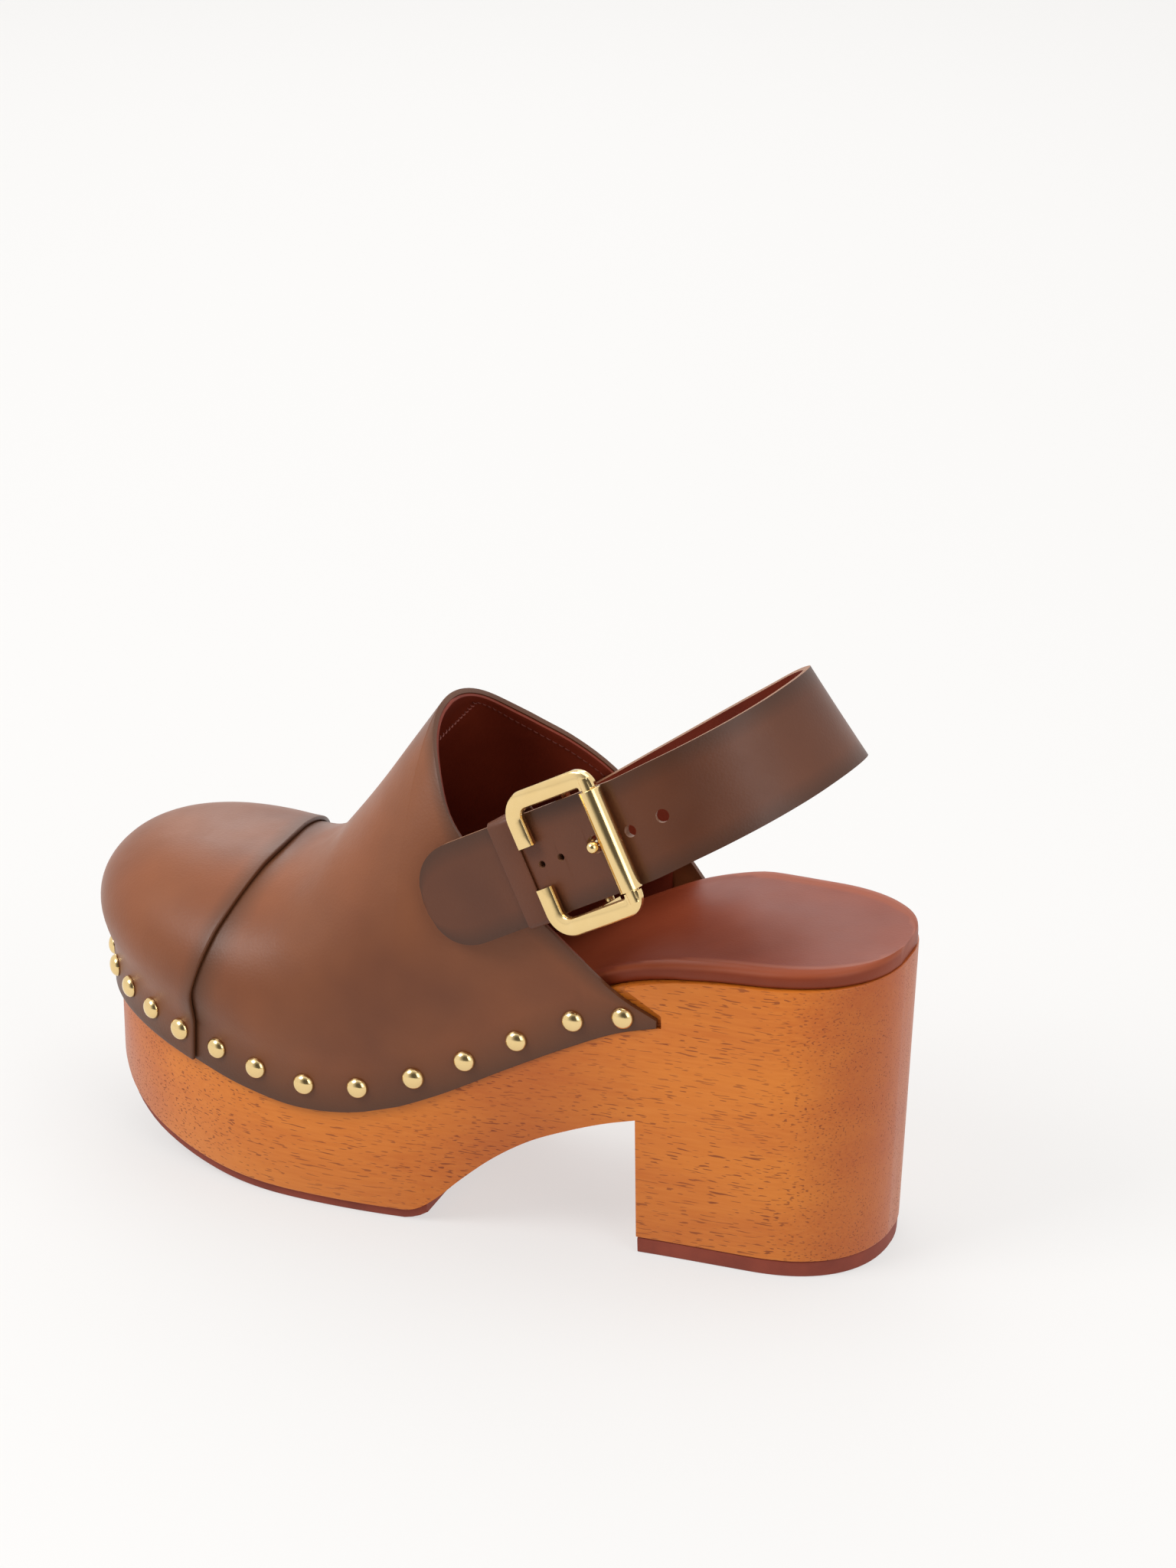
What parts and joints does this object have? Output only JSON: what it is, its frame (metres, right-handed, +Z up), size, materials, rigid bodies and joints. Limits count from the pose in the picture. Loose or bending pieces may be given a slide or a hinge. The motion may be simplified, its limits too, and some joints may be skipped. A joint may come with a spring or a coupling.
{
  "type": "wooden clog",
  "caption": "Clog with a carved wooden platform sole and block heel, leather upper with toe cap, studded edge, padded footbed and a sling strap with roller buckle.",
  "frame": {"origin": "on the floor under the middle of the clog's outline", "axes": "toe towards -X, heel towards +X, outer side with the buckle towards -Y, +Z up"},
  "size_m": [0.2538, 0.104, 0.1748],
  "materials": {
    "wood": "stained amber, satin lacquer",
    "rubber": "matte",
    "insole_board": "pressed fibre board",
    "foam_pad": "open foam",
    "footbed_leather": "smooth, semi-gloss",
    "upper_leather": "hand-tinted, soft sheen",
    "strap_leather": "hand-tinted, soft sheen",
    "lining_leather": "fine grain, matte",
    "brass": "polished",
    "brass_studs": "polished"
  },
  "bodies": {
    "clog": {"wooden_sole": "wood", "forefoot_tread": "rubber", "heel_tip": "rubber", "footbed_board": "insole_board", "footbed_pad": "foam_pad", "footbed_cover": "footbed_leather", "toe_cap": "upper_leather", "toe_puff": "insole_board", "vamp": "upper_leather", "lining": "lining_leather", "stud_01": "brass_studs", "stud_02": "brass_studs", "stud_03": "brass_studs", "stud_04": "brass_studs", "stud_05": "brass_studs", "stud_06": "brass_studs", "stud_07": "brass_studs", "stud_08": "brass_studs", "stud_09": "brass_studs", "stud_10": "brass_studs", "stud_11": "brass_studs", "stud_12": "brass_studs", "stud_13": "brass_studs", "stud_14": "brass_studs", "stud_15": "brass_studs", "stud_16": "brass_studs", "stud_17": "brass_studs", "stud_18": "brass_studs", "stud_19": "brass_studs", "stud_20": "brass_studs", "stud_21": "brass_studs", "stud_22": "brass_studs", "stud_23": "brass_studs", "stud_24": "brass_studs", "stud_25": "brass_studs", "stud_26": "brass_studs", "stud_27": "brass_studs", "stud_28": "brass_studs"},
    "sling": {"sling_strap": "strap_leather", "sling_strap_lining": "lining_leather", "buckle_strap": "strap_leather", "buckle_strap_lining": "lining_leather"},
    "buckle": {"buckle_frame": "brass"},
    "roller": {"buckle_roller": "brass"},
    "prong": {"buckle_prong": "brass"},
    "keeper": {"keeper_loop": "strap_leather"}
  },
  "joints": [
    {"name": "sling_flex", "type": "hinge", "parent": "clog", "child": "sling", "pos_m": [0.00496, -0.03528, 0.10773], "axis": [0, 1, 0], "range_deg": [-4, 0], "stiffness_Nm_per_rad": 4},
    {"name": "buckle_tilt", "type": "hinge", "parent": "sling", "child": "buckle", "pos_m": [0.04473, -0.03679, 0.13081], "axis": [-0.49, 0.1675, 0.8555], "range_deg": [-1.5, 1.5]},
    {"name": "roller_spin", "type": "hinge", "parent": "buckle", "child": "roller", "pos_m": [0.05531, -0.04622, 0.13871], "axis": [-0.49, 0.1675, 0.8555], "continuous": true},
    {"name": "prong_lift", "type": "hinge", "parent": "buckle", "child": "prong", "pos_m": [0.04473, -0.03679, 0.13081], "axis": [-0.49, 0.1675, 0.8555], "range_deg": [-2.5, 0]},
    {"name": "keeper_slide", "type": "slide", "parent": "sling", "child": "keeper", "axis": [0.8659, -0.02, 0.4999], "range_m": [-0.0016, 0]}
  ]
}
